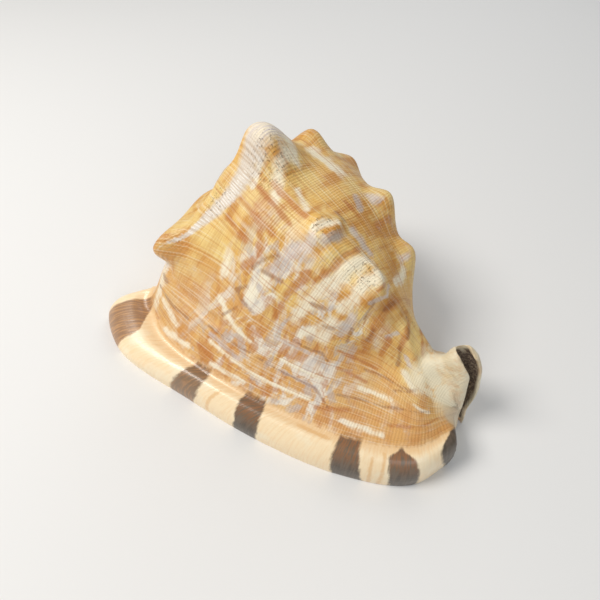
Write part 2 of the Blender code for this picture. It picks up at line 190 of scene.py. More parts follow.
# The crown of the lip is level with the crease, or lower where the crease climbs high
CROWN_SHARE = 0.35
CROWN_BASE = 9.0
# Points that leave the turns: the whorl rises steeply near the spire, and ends in a ridge by the canal
MOVED = [
    (5, 1, (-167, -60, 47)), (5, 2, (-162, -64, 60)), (5, 7, (-21, -25, 31)), (5, 8, (-12, -17, 24)),
    (6, 7, (-25, -13, 33)), (6, 8, (-14, -8, 28)),
]
# Under the shell, from the foot of the shield round to the mouth
UNDER = [
    [(-170, 28, 40), (-171, 38, 24), (-165, 46, 8), (-128, 41, 6), (-98, 35, 6),
     (-70, 25, 6), (-46, 17, 6), (-26, 11, 7), (-12, 8, 9)],
    [(-171, 20, 36), (-175, 24, 14), (-165, 38, -5), (-128, 34, -5), (-98, 28, -5),
     (-70, 20, -5), (-46, 12, -5), (-26, 8, -5), (-12, 5, -4)],
    [(-171, -4, 34), (-177, -8, 12), (-168, -6, -5), (-128, -6, -5), (-98, -6, -5),
     (-70, -6, -5), (-46, -5, -5), (-26, -4, -5), (-12, -3, -4)],
    [(-173, -30, 30), (-182, -38, 9), (-174, -48, -5), (-128, -55, -5), (-98, -52, -5),
     (-70, -46, -5), (-46, -36, -5), (-26, -26, -5), (-8, -13, -4)],
]
# Horns and knobs: turn, x, height, half width along x and round the coil, direction, bluntness
KNOBS = [
    (6, -168, 10, 12, 11, (-0.55, -0.80, 0.20), 2.2),
    (80, -145, 19, 16, 13, (-0.10, -0.25, 1.0), 1.35),
    (118, -146, 8, 9, 8, (-0.1, 0.3, 0.9), 1.0),
    (146, -133, 6, 9, 8, (0.1, 0.7, 0.6), 1.0),
    (66, -92, 7, 12, 11, (0.1, -0.4, 0.9), 1.2),
    (64, -66, 7, 11, 10, (0.2, -0.4, 0.8), 1.4),
    (126, -95, 9, 9, 8, (0.1, 0.5, 0.8), 1.0),
    (128, -70, 8, 8, 8, (0.2, 0.5, 0.8), 1.0),
]
# The keel between the two largest horns: turn and x along it, its height and half width
KEEL_TURN = (0.0, 8.0, 30.0, 58.0, 80.0, 92.0)
KEEL_X = (-168.0, -165.0, -157.0, -154.0, -149.0, -147.0)
KEEL_ENDS = (0.0, 0.3, 1.0, 1.0, 0.4, 0.0)
KEEL_TALL = 3.0
KEEL_WIDE = 5.0
# Spire: x and radius down to the tip
SPIRE = [(-150, 28), (-164, 30), (-171, 29), (-176, 23), (-179, 16), (-182, 14),
         (-185, 9), (-189, 6), (-192, 1)]
SPIRE_TURNS = 4.0
SPIRE_GROOVE = 1.6
# Canal: height, then the outline in plan from the end of the body along the near wall to the rims and back
CANAL = [
    (-5, (-10, -34), (-1, -24), (0.3, -8), (1, -3),
     (0, 2), (-10, 6), (-24, 2), (-26, -18)),
    (0, (-10, -34), (-1, -24), (0.3, -8), (1, -3),
     (0, 2), (-10, 6), (-24, 2), (-26, -18)),
    (10, (-8, -28), (-2.5, -16), (-2.8, -6.5), (-1.5, -1.5),
     (-1.8, 3.5), (-10, 8), (-24, 6), (-26, -10)),
    (20, (-7, -24), (-5, -14), (-5, -6.3), (-2.8, -1.2),
     (-1.6, 4.2), (-10, 9), (-26, 9), (-30, -6)),
    (28, (-18, -18.5), (-12.5, -11.5), (-7.2, -6.2), (-4.2, -1),
     (-2.6, 4.3), (-11, 9.2), (-28, 9), (-34, -4)),
    (36, (-31, -15), (-20, -8.5), (-9, -6), (-6, -0.8),
     (-4.7, 4.4), (-13, 8), (-29, 0), (-38, -3)),
    (39, (-29, -9), (-20, -7.8), (-9.6, -6), (-6.9, -0.8),
     (-5.6, 4.4), (-14, 7.5), (-24, 1.5), (-28, -3)),
    (42, (-24.5, -5.5), (-19, -7.2), (-10.3, -6), (-7.8, -0.8),
     (-6.6, 4.4), (-14, 7.2), (-22, 2.5), (-25, -2)),
    (46, (-23.5, -5.5), (-19, -7.8), (-12, -6.8), (-10, -0.8),
     (-9.2, 4.6), (-15, 6.6), (-21.5, 3.2), (-24, -1.5)),
    (49, (-22.5, -5.5), (-19.5, -7.8), (-14.5, -7), (-12, -0.8),
     (-11.5, 4.6), (-15.5, 6), (-20.5, 3.8), (-23.5, -1)),
    (51, (-21.8, -5), (-19.8, -7), (-17, -6.6), (-15.5, -0.8),
     (-14.5, 4.2), (-17, 5), (-19.5, 3.4), (-22, -1)),
    (52.5, (-21.5, -4.2), (-20, -5.8), (-18, -5.6), (-16.5, -0.8),
     (-16, 3.2), (-17.5, 3.8), (-19.5, 2.6), (-21, -1)),
]
# Trough of the canal: height, middle between its rims, depth and half width, and the way it faces
TROUGH = [
    (-6, 2, -6, 8, 2.6), (6, 0.5, -4, 7, 2.6), (15, -2.4, -1.6, 7, 3.0), (25, -4.3, -1, 9, 3.2),
    (35, -6.7, -0.8, 10, 3.4), (42, -8.6, -0.7, 9.5, 3.5), (47, -12.2, -1.3, 8.6, 4.0), (50, -16.4, -1.4, 5.6, 3.9),
    (54, -18, -1.4, 4.2, 3.8),
]
TROUGH_TURN = -23.0
# Old lip that stands proud beside the spire, and its thickness
VARIX = [(-164, -36, 66), (-169, -28, 70), (-172, -20, 74.5), (-172.5, -13, 78.5), (-168, -8, 82),
         (-160, -5, 83)]
VARIX_RADIUS = 3.0
# Outline of the parietal shield in plan, and its thickness
SHIELD = [(-170, -46), (-180, -22), (-181, 10), (-178, 40), (-171, 66), (-160, 75), (-146, 71),
          (-100, 50), (-56, 31), (-31, 20), (-12, 10), (-14, -10), (-60, -36), (-120, -50)]
SHIELD_MIDDLE = (-110.0, 0.0)
SHIELD_LEVELS = [(-4.0, 0.97), (0.0, 0.985), (2.5, 1.0), (4.5, 0.99), (7.0, 0.95), (10.0, 0.78)]
# Corners of the block that is cut away under the shell
GROUND = [(-260.0, -180.0), (80.0, -180.0), (80.0, 150.0), (-260.0, 150.0)]
GROUND_LOW = -40.0
# Middle of the narrow mouth in plan, from the spire end to the canal
MOUTH_X = np.array([-166.0, -150.0, -115.0, -72.0, -40.0, -18.0, -2.0])
MOUTH_Y = np.array([-52.0, -64.0, -63.0, -54.0, -41.0, -26.0, -9.0])


def axis_z(x):
    """Height of the coil axis over the ground."""
    return AXIS_LOW - AXIS_RISE * x


def round_axis(x, r, degrees):
    """Point at a distance from the coil axis: 0 degrees at the lip side, 90 on top."""
    turn = np.radians(degrees)
    return np.stack([x + 0 * r, -r * np.cos(turn), axis_z(x) + r * np.sin(turn)], -1)


def slope(back, ahead):
    """Direction of a curve between two steps, ruled by the shorter one so that it can't overshoot."""
    short = np.linalg.norm(back, axis=-1, keepdims=True) + 1e-9
    long = np.linalg.norm(ahead, axis=-1, keepdims=True) + 1e-9
    return (back * long + ahead * short) / (short + long)


def spline(points, t, closed=False):
    """Smooth curve through points, at places counted in points."""
    points = np.asarray(points, float)
    count = len(points)
    start = np.floor(t).astype(int)
    if closed:
        start = start % count
        before = points[(start - 1) % count]
        first = points[start]
        second = points[(start + 1) % count]
        after = points[(start + 2) % count]
        f = t - np.floor(t)
    else:
        start = np.clip(start, 0, count - 2)
        first = points[start]
        second = points[start + 1]
        before = points[np.clip(start - 1, 0, count - 1)]
        after = points[np.clip(start + 2, 0, count - 1)]
        f = t - start
    shape = f.shape + (1,) * (points.ndim - 1)
    f = f.reshape(shape)
    if not closed:
        before = np.where((start == 0).reshape(shape), 2 * first - second, before)
        after = np.where((start == count - 2).reshape(shape), 2 * second - first, after)
    leave = slope(first - before, second - first)
    arrive = slope(second - first, after - second)
    step = second - first
    return first + f * leave + f ** 2 * (3 * step - 2 * leave - arrive) + f ** 3 * (leave + arrive - 2 * step)


def lip_rows():
    """Foot, edge, shoulder, crown and crease of the rolled lip."""
    edge = np.array(LIP_EDGE, float)
    crease = np.array(LIP_CREASE, float)
    foot = edge + 0.16 * (crease - edge)
    foot[:, 2] = np.where(edge[:, 2] < 9, -3, edge[:, 2] - 7)
    shoulder = edge + 0.20 * (crease - edge)
    shoulder[:, 2] = edge[:, 2] + 0.56 * (crease[:, 2] - edge[:, 2]) + 1.0
    crown = edge + 0.60 * (crease - edge)
    rise = crease[:, 2] - edge[:, 2]
    crown[:, 2] = edge[:, 2] + np.minimum(rise, CROWN_SHARE * rise + CROWN_BASE)
    return [foot, edge, shoulder, crown, crease]


def body_rows():
    """Rows of the body whorl, from the foot of the lip over the back and under to the mouth."""
    rows = lip_rows()
    for degrees, size, keel, thin in TURNS:
        radius = STATION_R * (1 + (size - 1) * FOLLOW) * (1 - thin * THIN)
        rows.append(round_axis(STATION_X + SHIFT * keel, radius, degrees))
    for row, station, point in MOVED:
        rows[row][station] = point
    rows += [np.array(row, float) for row in UNDER]
    return np.array(rows)


def raise_knobs(points):
    """Push the surface out at each horn and knob."""
    height = axis_z(points[..., 0])
    radius = np.hypot(points[..., 1], points[..., 2] - height)
    degrees = np.degrees(np.arctan2(points[..., 2] - height, -points[..., 1]))
    moved = points.copy()
    for turn, x, tall, wide_x, wide_round, lean, blunt in KNOBS:
        away = np.abs((degrees - turn + 180) % 360 - 180)
        along = np.radians(away) * np.clip(radius, 20, 70)
        q = ((points[..., 0] - x) / wide_x) ** 2 + (along / wide_round) ** 2
        direction = np.array(lean, float)
        direction = direction / np.linalg.norm(direction)
        moved += (tall * np.exp(-q ** blunt))[..., None] * direction
    keel_away = (points[..., 0] - np.interp(degrees, KEEL_TURN, KEEL_X)) / KEEL_WIDE
    keel = KEEL_TALL * np.interp(degrees, KEEL_TURN, KEEL_ENDS) * np.exp(-keel_away ** 2)
    turn = np.radians(degrees)
    moved += keel[..., None] * np.stack([0 * turn, -np.cos(turn), np.sin(turn)], -1)
    return moved


def body_grid(across, along):
    """Closed rings round the body whorl, with the growth row and the station of every point."""
    rows = body_rows()
    t = np.linspace(0, len(rows), across, endpoint=False)
    rings = spline(rows, t, closed=True)
    s = np.linspace(0, rows.shape[1] - 1, along)
    grid = spline(np.swapaxes(rings, 0, 1), s)
    grid = raise_knobs(grid)
    grid[..., 2] = np.maximum(grid[..., 2], BELOW)
    return grid, t, s


def canal_grid(around):
    """Rings of the neck and canal at rising heights."""
    outlines = np.array([level[1:] for level in CANAL], float)
    heights = np.array([level[0] for level in CANAL], float)
    up = np.linspace(0, len(CANAL) - 1, 6 * len(CANAL))
    turn = np.linspace(0, outlines.shape[1], around, endpoint=False)
    rings = spline(np.swapaxes(outlines, 0, 1), turn, closed=True)
    rings = spline(np.swapaxes(rings, 0, 1), up)
    z = np.interp(up, np.arange(len(CANAL)), heights)
    return np.concatenate([rings, z[:, None, None] + 0 * rings[..., :1]], -1)


def trough_grid(around):
    """Oval rings of the trough, long ways on to its opening."""
    levels = np.array(TROUGH, float)
    steps = spline(levels, np.linspace(0, len(levels) - 1, 6 * len(levels)))
    turn = np.linspace(0, 2 * np.pi, around, endpoint=False)
    facing = math.radians(TROUGH_TURN)
    deep = steps[:, 3, None] * np.cos(turn)
    wide = steps[:, 4, None] * np.sin(turn)
    x = steps[:, 1, None] + deep * math.cos(facing) - wide * math.sin(facing)
    y = steps[:, 2, None] + deep * math.sin(facing) + wide * math.cos(facing)
    return np.stack([x, y, steps[:, 0, None] + 0 * x], -1)


def spire_grid(around):
    """Rings of the short spire, with the groove where each turn meets the one before."""
    step = np.linspace(0, len(SPIRE) - 1, 90)
    profile = spline(SPIRE, step)
    turn = np.linspace(0, 360, around, endpoint=False)
    x = profile[:, 0, None] + 0 * turn
    phase = (SPIRE_TURNS * step[:, None] / len(SPIRE) - turn / 360) % 1 - 0.5
    groove = SPIRE_GROOVE * np.exp(-(phase / 0.12) ** 2)
    r = np.maximum(profile[:, 1, None] - groove, 0.3)
    return round_axis(x, r, turn + 0 * x)


def tube_grid(path, radius, around):
    """Round cord along a path, thinner at its ends."""
    middle = spline(path, np.linspace(0, len(path) - 1, 8 * len(path)))
    ahead = np.gradient(middle, axis=0)
    ahead /= np.linalg.norm(ahead, axis=1)[:, None]
    side = np.cross(ahead, (0.0, 0.0, 1.0))
    side /= np.linalg.norm(side, axis=1)[:, None]
    up = np.cross(side, ahead)
    s = np.linspace(-1, 1, len(middle))
    size = radius * np.sqrt(np.maximum(1 - s ** 6, 0.02))
    turn = np.linspace(0, 2 * np.pi, around, endpoint=False)
    out = np.cos(turn)[:, None] * side[:, None] + np.sin(turn)[:, None] * up[:, None]
    return middle[:, None] + size[:, None, None] * out


def shield_grid(around):
    """Thin plate of the shield, rounded at its edge."""
    outline = spline(SHIELD, np.linspace(0, len(SHIELD), around, endpoint=False), closed=True)
    middle = np.array(SHIELD_MIDDLE)
    rings = []
    for height, size in SHIELD_LEVELS:
        plan = middle + (outline - middle) * size
        rings.append(np.column_stack([plan, np.full(around, height)]))
    return np.array(rings)


def cavity_grid(along):
    """Hollow of the body whorl, from the mouth slit up and back round the coil."""
    s = np.linspace(-1, 1, along)
    bulge = np.sqrt(np.maximum(1 - s ** 2, 0)) ** 0.7
    rings = []
    # The slit itself, with rounded teeth along the lip and low ridges along the other side
    slit_x = SLIT_X + SLIT_REACH * s
    slit_y = np.interp(slit_x, MOUTH_X, MOUTH_Y)
    teeth = TEETH_DEPTH * np.cos(2 * np.pi * slit_x / TEETH_PITCH) * (1 - s ** 6)
    for height, half in SLIT_LEVELS:
        lip = slit_y - (half * bulge ** 0.6 + teeth)
        inner = slit_y + half * bulge ** 0.6 + 0.5 * teeth
        ring = np.concatenate([
            np.column_stack([slit_x, lip, np.full(along, height)]),
            np.column_stack([slit_x, inner, np.full(along, height)])[::-1][1:-1],
        ])
        rings.append(ring)
    # Above the lip the hollow widens
    x = THROAT_X + THROAT_REACH * s
    crease_x = np.array([p[0] for p in LIP_CREASE[2:]], float)
    crease_y = np.array([p[1] for p in LIP_CREASE[2:]], float)
    wall_y = np.interp(x, crease_x, crease_y)
    low_part = np.interp(x, NARROW_X, (0.0, 1.0))
    for back, height, half, dy, dz in THROAT:
        sink = NARROW_SINK * height * low_part
        middle = np.column_stack([x, wall_y + back - NARROW_STEP * low_part, height - sink])
        step = np.array([0.0, dy, dz]) * half
        outer = middle - bulge[:, None] * step
        inner = middle + bulge[:, None] * step
        rings.append(np.concatenate([outer, inner[::-1][1:-1]]))
    for degrees, size, keel, thin in TURNS:
        sx = STATION_X + SHIFT * keel
        radius = STATION_R * (1 + (size - 1) * FOLLOW) * (1 - thin * THIN)
        far = degrees / TURNS[-1][0]
        x = LAST_X + 0.5 * keel + (LAST_REACH - LAST_SHORTER * far) * s
        whole = np.interp(x, sx, radius)
        most = whole - WALL - LAST_SKIN
        least = INNER_SHARE * whole + INNER_EXTRA
        middle = (most + least) / 2
        half = np.maximum((most - least) / 2, 1.0) * bulge
        outer = round_axis(x, middle + half, degrees)
        inner = round_axis(x, middle - half, degrees)
        rings.append(np.concatenate([outer, inner[::-1][1:-1]]))
    for degrees, reach, middle_x, half_x in INNER_TURNS:
        x = middle_x + half_x * s
        whole = np.interp(x, STATION_X, STATION_R)
        most = reach * whole
        down = -math.sin(math.radians(degrees))
        if down > 0.1:
            most = np.minimum(most, (axis_z(x) - FLOOR_WALL) / down)
        least = np.minimum(COLUMELLA, most - 2.0)
        middle = (most + least) / 2
        half = (most - least) / 2 * bulge
        outer = round_axis(x, middle + half, degrees)
        inner = round_axis(x, middle - half, degrees)
        rings.append(np.concatenate([outer, inner[::-1][1:-1]]))
    return np.array(rings)


def dish_grid(along, around):
    """Shallow dish round the mouth, so that the lip and the shield curve in to the slit."""
    s = np.linspace(-1, 1, along)
    x = np.interp(s, (-1, 1), DISH_ENDS)
    y = np.interp(x, MOUTH_X, MOUTH_Y)
    size = np.sqrt(np.maximum(1 - s ** 4, 0.002))
    turn = np.linspace(0, 2 * np.pi, around, endpoint=False)
    across = y[:, None] + DISH_HALF * size[:, None] * np.cos(turn)
    up = DISH_DEPTH * size[:, None] * np.sin(turn)
    return np.stack([x[:, None] + 0 * across, across, up + 0 * across], -1)


def enclosed(points, faces):
    """Volume inside the faces, below zero where they point inwards."""
    first = points[faces[:, 0]]
    total = np.einsum("ij,ij->i", first, np.cross(points[faces[:, 1]], points[faces[:, 2]]))
    return total.sum() + np.einsum("ij,ij->i", first, np.cross(points[faces[:, 2]], points[faces[:, 3]])).sum()


def solid(name, grids):
    """Mesh of closed shapes, each from rings of points with a fan at either end."""
    points = []
    faces = []
    base = 0
    for grid in grids:
        levels, around = grid.shape[:2]
        ends = np.array([grid[0].mean(axis=0), grid[-1].mean(axis=0)])
        rings = placed(np.concatenate([grid.reshape(-1, 3), ends]))
        i = np.arange(levels - 1)[:, None] * around
        j = np.arange(around)[None, :]
        k = (j + 1) % around
        sides = np.stack([i + j, i + k, i + around + k, i + around + j], -1).reshape(-1, 4)
        top = (levels - 1) * around
        j = j[0]
        k = k[0]
        first_fan = np.column_stack([0 * j + levels * around, k, j, j])
        last_fan = np.column_stack([0 * j + levels * around + 1, top + j, top + k, top + k])
        shape = np.concatenate([sides, first_fan, last_fan])
        if enclosed(rings, shape) < 0:
            shape = shape[:, ::-1]
        for face in (shape + base).tolist():
            corners = list(dict.fromkeys(face))
            faces.append(corners)
        points.append(rings)
        base += len(rings)
    mesh = bpy.data.meshes.new(name)
    mesh.from_pydata(np.concatenate(points).tolist(), [], faces)
    mesh.update()
    obj = bpy.data.objects.new(name, mesh)
    bpy.context.scene.collection.objects.link(obj)
    return obj


def finished(obj):
    """Plain mesh of an object with its modifiers applied, under the same name."""
    evaluated = obj.evaluated_get(bpy.context.evaluated_depsgraph_get())
    mesh = bpy.data.meshes.new_from_object(evaluated)
    obj.modifiers.clear()
    old = obj.data
    obj.data = mesh
    bpy.data.meshes.remove(old)
    return obj


def cut(target, tool):
    """Take one solid away from another and delete the tool."""
    modifier = target.modifiers.new("cut", "BOOLEAN")
    modifier.operation = "DIFFERENCE"
    modifier.solver = "MANIFOLD"
    modifier.object = tool
    finished(target)
    mesh = tool.data
    bpy.data.objects.remove(tool, do_unlink=True)
    bpy.data.meshes.remove(mesh)


# Relief that only the fine skin has: height in millimetres, half width, and a path in stations and growth rows.
# Folds under the left horn, the ridge from the large horn to the knobs and down to the neck, and the knobs' rims
RELIEF = [
    (-1.8, 3.0, [(2.05, 4.75), (2.3, 4.66), (2.64, 4.57), (3.04, 4.54), (3.5, 4.57)]),
    (-0.6, 1.8, [(1.9, 3.5), (2.32, 3.7), (2.51, 4.05), (2.87, 4.25), (3.22, 4.35), (3.7, 4.42)]),
    (1.2, 3.5, [(2.41, 7.95), (2.81, 7.8), (3.17, 7.6), (3.56, 7.45), (3.95, 7.5)]),
    (1.4, 3.2, [(4.62, 7.6), (5.0, 7.75), (5.3, 7.45), (5.56, 7.6), (5.98, 7.45), (6.35, 6.7), (6.93, 5.68)]),
    (1.4, 2.2, [(4.05, 7.15), (3.98, 7.5), (4.08, 7.9), (4.2, 7.75), (4.27, 7.35), (4.12, 7.12)]),
    (-0.9, 2.0, [(4.35, 7.95), (4.4, 7.4), (4.3, 6.9), (4.0, 6.8)]),
    (1.6, 3.0, [(4.72, 7.05), (4.75, 7.65), (5.1, 7.7), (5.3, 7.3), (5.25, 6.95)]),
    (-1.0, 3.0, [(5.45, 7.9), (5.5, 7.0), (5.42, 6.2)]),
    (0.7, 1.6, [(3.3, 4.62), (3.9, 4.68), (4.6, 4.66), (5.2, 4.62)]),
    (-0.5, 1.2, [(5.5, 4.5), (6.2, 4.5), (6.9, 4.62)]),
    (0.6, 1.5, [(5.7, 4.75), (6.3, 4.85), (6.9, 5.0), (7.4, 5.1)]),
]


def unrolled(grid, t, s):
    """Lengths in millimetres at each station and each growth row, as if the whorl were flat."""
    back = grid[:, (t > 5) & (t < 9)]
    front = grid[(s > 2.5) & (s < 6)]
    along = np.linalg.norm(np.diff(back, axis=0), axis=2).mean(axis=1)
    across = np.linalg.norm(np.diff(front, axis=1), axis=2).mean(axis=0)
    return np.concatenate([[0], np.cumsum(along)]), np.concatenate([[0], np.cumsum(across)])


def path_distance(path, s_mm, t_mm):
    """Distance on the unrolled whorl from every place to a path in stations and growth rows."""
    corners = np.array(path, float)
    corners = np.column_stack([np.interp(corners[:, 0], grid_s, mm_of_s), np.interp(corners[:, 1], grid_t, mm_of_t)])
    best = np.full(np.broadcast(s_mm, t_mm).shape, 1e6)
    for first, second in zip(corners[:-1], corners[1:]):
        step = second - first
        share = ((s_mm - first[0]) * step[0] + (t_mm - first[1]) * step[1]) / max(step @ step, 1e-6)
        share = np.clip(share, 0.0, 1.0)
        away = np.hypot(s_mm - first[0] - share * step[0], t_mm - first[1] - share * step[1])
        best = np.minimum(best, away)
    return best


def across_surface(grid):
    """Unit normals of a grid, all on one side."""
    along = np.gradient(grid, axis=0)
    across = np.gradient(grid, axis=1)
    normal = np.cross(across, along)
    return normal / (np.linalg.norm(normal, axis=2, keepdims=True) + 1e-9)


whorl_grid, grid_t, grid_s = body_grid(510, 321)
mm_of_s, mm_of_t = unrolled(whorl_grid, grid_t, grid_s)
whorl_normal = across_surface(whorl_grid)
outward = np.sign((whorl_normal[160, 240] * (0.0, -0.3, 1.0)).sum())
whorl_normal = whorl_normal * outward
raised = np.zeros(whorl_grid.shape[:2])
for tall, wide, path in RELIEF:
    raised += tall * np.exp(-(path_distance(path, mm_of_s[:, None], mm_of_t[None, :]) / wide) ** 2)
whorl_grid = whorl_grid + raised[..., None] * whorl_normal
part_grids = {
    "whorl": whorl_grid,
    "spire": spire_grid(96),
    "varix": tube_grid(VARIX, VARIX_RADIUS, 24),
    "canal": canal_grid(160),
    "shield": shield_grid(240),
}
skin = solid("shell", list(part_grids.values()))
grow = skin.modifiers.new("grow", "REMESH")
grow.mode = "VOXEL"
grow.voxel_size = SKIN_VOXEL * MM
grow.use_smooth_shade = True
soften = skin.modifiers.new("soften", "SMOOTH")
soften.factor = 0.5
soften.iterations = 6
fewer = skin.modifiers.new("fewer", "DECIMATE")
fewer.ratio = 0.8
finished(skin)
cut(skin, solid("dish", [dish_grid(60, 48)]))
cut(skin, solid("hollow", [cavity_grid(160)]))
cut(skin, solid("trough", [trough_grid(48)]))
ground_levels = [[(x, y, z) for x, y in GROUND] for z in (GROUND_LOW, 0.0)]
cut(skin, solid("ground", [np.array(ground_levels)]))

# Painted marks by colour, each a half width in millimetres and a path in stations and growth rows,
# read off the photo: spiral blotches on the whorl, wavy lines over the lip, and the lip's bars
MARKS = {
    "cream": [
        (2.6, [(2.75, 8.1), (2.95, 7.6), (3.3, 7.1)]), (1.4, [(2.6, 7.5), (2.8, 7.0)]), (1.6, [(3.3, 7.7), (3.7, 7.5)]),
        (3.2, [(3.75, 5.1), (3.85, 5.6)]), (4.0, [(4.5, 5.3), (4.6, 6.2), (4.7, 6.7)]),
        (3.6, [(4.95, 5.15), (5.0, 5.75)]), (4.5, [(4.75, 6.95), (4.8, 7.7)]), (4.0, [(5.05, 7.0), (5.1, 7.75)]),
        (3.0, [(5.0, 6.2), (5.1, 6.7)]), (2.6, [(4.7, 5.0), (4.9, 5.5)]), (3.5, [(3.35, 9.2), (2.6, 9.0)]),
        (2.6, [(2.5, 8.4), (2.9, 8.15)]), (2.0, [(4.05, 7.3), (4.15, 7.75)]), (2.5, [(6.5, 5.4), (6.75, 5.15)]),
        (1.4, [(3.35, 4.75), (3.75, 4.66), (4.1, 4.62)]), (1.2, [(4.6, 4.62), (5.25, 4.6)]),
        (1.3, [(5.2, 4.38), (4.4, 4.36), (3.6, 4.4)]), (1.6, [(5.8, 4.28), (6.4, 4.25)]),
        (1.5, [(5.85, 4.62), (6.4, 4.66)]), (1.6, [(2.9, 4.12), (3.4, 4.2)]), (1.2, [(3.8, 4.2), (4.3, 4.22)]),
        (2.6, [(2.0, 4.75), (2.2, 4.5), (2.35, 4.2)]), (1.8, [(2.5, 4.35), (3.0, 4.28)]),
        (2.2, [(1.75, 4.6), (1.85, 4.2)]), (2.4, [(3.1, 5.4), (3.2, 5.0)]), (1.6, [(6.9, 4.8), (7.4, 4.75)]), (3.0, [(5.3, 8.4), (5.2, 9.2)]),
    ],
    "grey": [
        (3.4, [(3.9, 6.0), (4.0, 6.6)]), (3.2, [(4.1, 6.6), (4.15, 7.0)]), (2.6, [(4.28, 7.2), (4.35, 7.6)]),
        (2.6, [(5.2, 5.5), (5.2, 6.2)]), (1.2, [(5.3, 6.9), (5.4, 7.5), (5.3, 7.9)]), (2.4, [(4.3, 8.1), (4.7, 8.05)]),
        (2.4, [(3.9, 8.9), (4.05, 8.75)]), (2.2, [(3.9, 9.35), (4.1, 9.5)]), (1.6, [(6.35, 6.2), (6.5, 5.9)]),
        (1.4, [(3.55, 4.45), (4.1, 4.42)]), (1.1, [(4.7, 4.52), (5.2, 4.5)]), (2.0, [(5.0, 9.3), (5.05, 9.6)]),
        (1.5, [(5.85, 6.4), (5.95, 6.9)]), (1.6, [(3.8, 5.35), (3.95, 5.2)]), (1.0, [(4.4, 4.78), (4.9, 4.8)]),
    ],
    "amber": [
        (1.7, [(4.6, 7.75), (4.58, 6.9), (4.48, 6.4)]), (2.4, [(4.35, 6.4), (4.25, 5.7), (4.25, 5.05)]),
        (3.4, [(5.55, 7.8), (5.6, 7.0), (5.6, 6.0), (5.65, 5.2)]), (2.0, [(5.95, 7.7), (6.1, 7.1), (6.15, 6.3)]),
        (2.0, [(5.9, 6.4), (5.95, 5.4)]), (1.6, [(3.0, 7.4), (3.8, 7.35)]), (1.4, [(2.9, 7.1), (3.7, 7.0)]),
        (1.8, [(2.75, 6.6), (3.6, 6.55)]), (1.6, [(2.7, 6.1), (3.3, 6.0)]), (1.4, [(3.85, 8.5), (4.15, 8.55)]),
        (2.2, [(4.4, 9.0), (4.4, 9.6)]), (1.1, [(5.3, 4.98), (6.0, 4.9)]),
        (1.2, [(5.4, 4.75), (5.9, 4.7)]), (1.6, [(5.35, 4.32), (5.8, 4.4)]), (1.4, [(6.5, 4.4), (7.2, 4.5), (7.8, 4.6)]),
        (1.2, [(3.5, 4.3), (3.8, 4.25)]), (1.0, [(4.35, 4.28), (4.7, 4.22)]), (1.0, [(2.5, 4.1), (2.8, 4.02), (3.6, 4.06)]),
        (1.0, [(5.25, 7.3), (5.25, 7.75)]), (2.0, [(3.4, 6.5), (3.6, 5.9), (3.45, 5.4)]),
        (1.0, [(6.35, 2.8), (6.38, 1.4), (6.4, 0.3)]), (0.9, [(6.5, 3.6), (6.52, 2.0), (6.52, 0.3)]),
        (2.4, [(5.3, 3.7), (5.7, 3.6)]), (1.2, [(4.25, 3.0), (4.3, 0.8)]), (1.6, [(6.65, 6.9), (6.4, 7.8)]), (2.2, [(6.3, 8.0), (6.2, 8.6)]),
    ],
    "umber": [
        (1.3, [(5.55, 7.7), (5.55, 7.1)]), (1.5, [(5.6, 6.3), (5.6, 5.8)]), (1.3, [(6.15, 6.4), (6.28, 5.75), (6.3, 5.5)]),
        (1.1, [(6.05, 7.5), (6.15, 7.0)]), (1.2, [(3.85, 6.25), (3.7, 6.0), (3.6, 5.6)]), (1.0, [(3.75, 5.72), (4.1, 5.85)]),
        (1.1, [(5.3, 5.9), (5.35, 5.3)]), (1.4, [(4.9, 5.45), (5.05, 5.55)]), (1.1, [(4.6, 5.85), (4.8, 5.95)]),
        (1.2, [(3.95, 8.05), (4.15, 8.02)]), (0.9, [(3.65, 5.15), (3.5, 4.95), (3.7, 4.9), (3.95, 4.88)]),
        (0.8, [(3.55, 4.66), (3.66, 4.8)]), (0.8, [(4.6, 4.86), (4.85, 4.84), (5.1, 4.86), (5.25, 4.78)]),
        (0.7, [(3.45, 4.5), (4.2, 4.53), (5.2, 4.5), (5.5, 4.36)]), (0.8, [(5.55, 4.5), (6.3, 4.55), (7.0, 4.72), (7.7, 4.8)]),
        (0.9, [(5.8, 4.82), (6.5, 4.9), (6.8, 5.1)]), (0.8, [(6.4, 4.78), (6.7, 4.95), (6.9, 5.3), (7.3, 5.2)]),
        (0.8, [(2.45, 3.9), (2.6, 4.02), (2.9, 4.05)]), (0.9, [(2.2, 4.45), (2.7, 4.4), (3.1, 4.42)]),
        (0.8, [(5.35, 7.0), (5.38, 6.4)]), (1.2, [(2.15, 4.6), (2.35, 4.55)]),
    ],
}
# Bars of the lip from the spire end: colour at the crown and at the foot, and the left and right edge as
# stations at growth rows
BAR_ROWS = (0.0, 0.5, 1.5, 2.5, 3.0, 3.5, 4.1)
BARS = [
    ("bar_brown", (2.20, 2.20, 2.20, 2.15, 2.10, 2.05, 2.00), (2.95, 2.95, 2.95, 2.90, 2.82, 2.62, 2.30)),
    ("bar_brown", (3.75, 3.76, 3.78, 3.75, 3.71, 3.68, 3.63), (4.05, 4.08, 4.12, 4.05, 4.00, 3.95, 3.86)),
    ("bar_dark", (4.68, 4.68, 4.69, 4.58, 4.52, 4.46, 4.42), (5.00, 5.00, 5.00, 4.91, 4.85, 4.79, 4.70)),
    ("bar_dark", (5.93, 5.93, 5.89, 5.86, 5.85, 5.84, 5.82), (6.30, 6.31, 6.25, 6.20, 6.17, 6.16, 6.15)),
    ("bar_dark", (6.66, 6.66, 6.62, 6.58, 6.56, 6.60, 6.75), (7.15, 7.12, 7.10, 7.02, 6.98, 6.88, 6.76)),
    ("bar_dark", (7.90, 7.85, 7.66, 7.56, 7.62, 7.75, 7.95), (8.60, 8.60, 8.60, 8.60, 8.60, 8.60, 8.20)),
]
